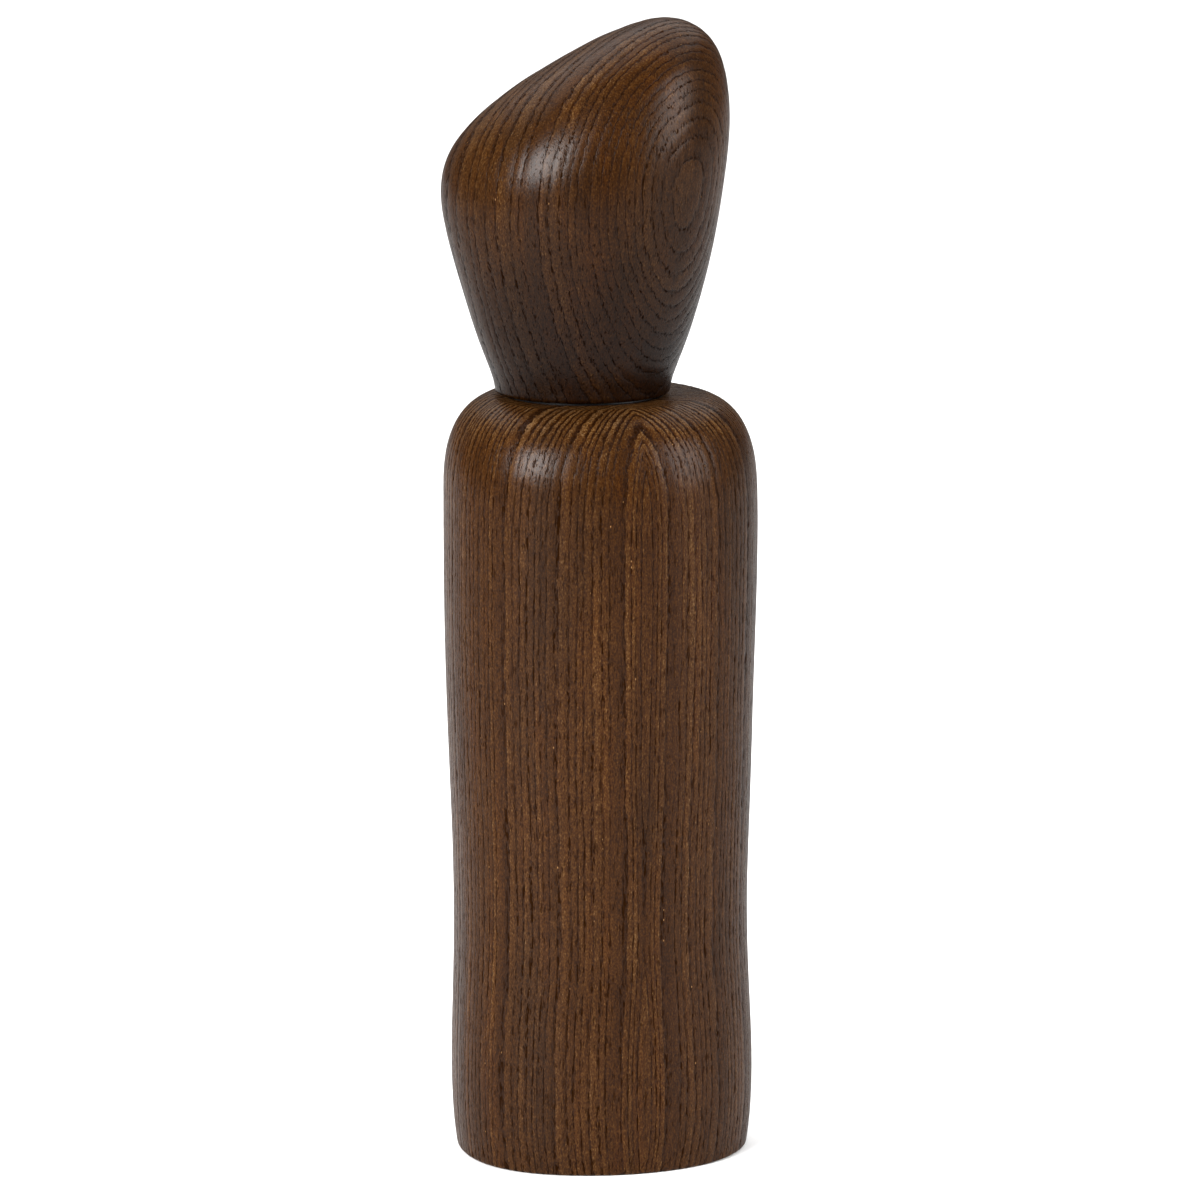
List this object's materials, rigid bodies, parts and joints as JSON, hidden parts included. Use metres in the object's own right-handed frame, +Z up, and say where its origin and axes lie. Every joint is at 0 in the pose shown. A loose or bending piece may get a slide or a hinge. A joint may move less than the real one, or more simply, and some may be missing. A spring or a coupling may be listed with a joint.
{
  "type": "pepper mill",
  "caption": "Tall wooden pepper mill with a turning pebble-shaped head, a ceramic grinding mechanism in the base and a grind adjuster underneath.",
  "frame": {"origin": "on the spindle axis, in the plane of the base", "axes": "+Z up along the spindle, -Y towards the viewer, +X towards the side the head leans to"},
  "size_m": [0.0705, 0.0694, 0.2549],
  "materials": {
    "dark_ash": "dark-stained open-grained ash, oiled satin",
    "black_plastic": "moulded, fine satin",
    "natural_plastic": "moulded acetal, satin",
    "burr_ceramic": "unglazed, fine grained",
    "steel": "bright zinc-plated",
    "spring_steel": "drawn wire, satin",
    "shaft_aluminium": "extruded, satin",
    "seal_rubber": "matt"
  },
  "bodies": {
    "mill_body": {"body_shell": "dark_ash", "glide_ring": "black_plastic", "mill_housing": "black_plastic", "flange_screws": "steel", "stator_ring": "burr_ceramic", "bottom_bridge": "black_plastic", "bridge_screws": "steel", "shaft_bearing": "black_plastic"},
    "spindle": {"drive_shaft": "shaft_aluminium", "shaft_bush": "natural_plastic", "shaft_clip": "spring_steel", "spring_washer": "steel", "pressure_spring": "spring_steel"},
    "rotor": {"rotor_carrier": "black_plastic", "rotor_cone": "burr_ceramic", "rotor_clip": "spring_steel"},
    "adjuster_seat": {"thrust_ball": "steel"},
    "adjuster": {"adjuster_screw": "steel", "adjuster_o_ring": "seal_rubber", "adjuster_knob": "black_plastic"},
    "head": {"head_block": "dark_ash", "head_stopper": "black_plastic", "stopper_clip": "spring_steel", "stopper_screws": "steel"}
  },
  "joints": [
    {"name": "head_turn", "type": "hinge", "parent": "mill_body", "child": "spindle", "pos_m": [0, 0, 0.1716], "axis": [0, 0, 1], "continuous": true},
    {"name": "head_lift", "type": "slide", "parent": "spindle", "child": "head", "axis": [0, 0, 1], "range_m": [0, 0.05]},
    {"name": "rotor_lift", "type": "slide", "parent": "spindle", "child": "rotor", "axis": [0, 0, 1], "range_m": [0, 0.00084], "deforming": ["pressure_spring"]},
    {"name": "adjuster_travel", "type": "slide", "parent": "mill_body", "child": "adjuster_seat", "axis": [0, 0, 1], "range_m": [0, 0.000833]},
    {"name": "adjuster_turn", "type": "hinge", "parent": "adjuster_seat", "child": "adjuster", "pos_m": [0, 0, 0.002], "axis": [0, 0, 1], "range_deg": [0, 300]}
  ],
  "couplings": [
    {"joint": "rotor_lift", "follows": "adjuster_travel", "ratio": 1},
    {"joint": "adjuster_turn", "follows": "adjuster_travel", "rad_per_m": 6283.2}
  ]
}
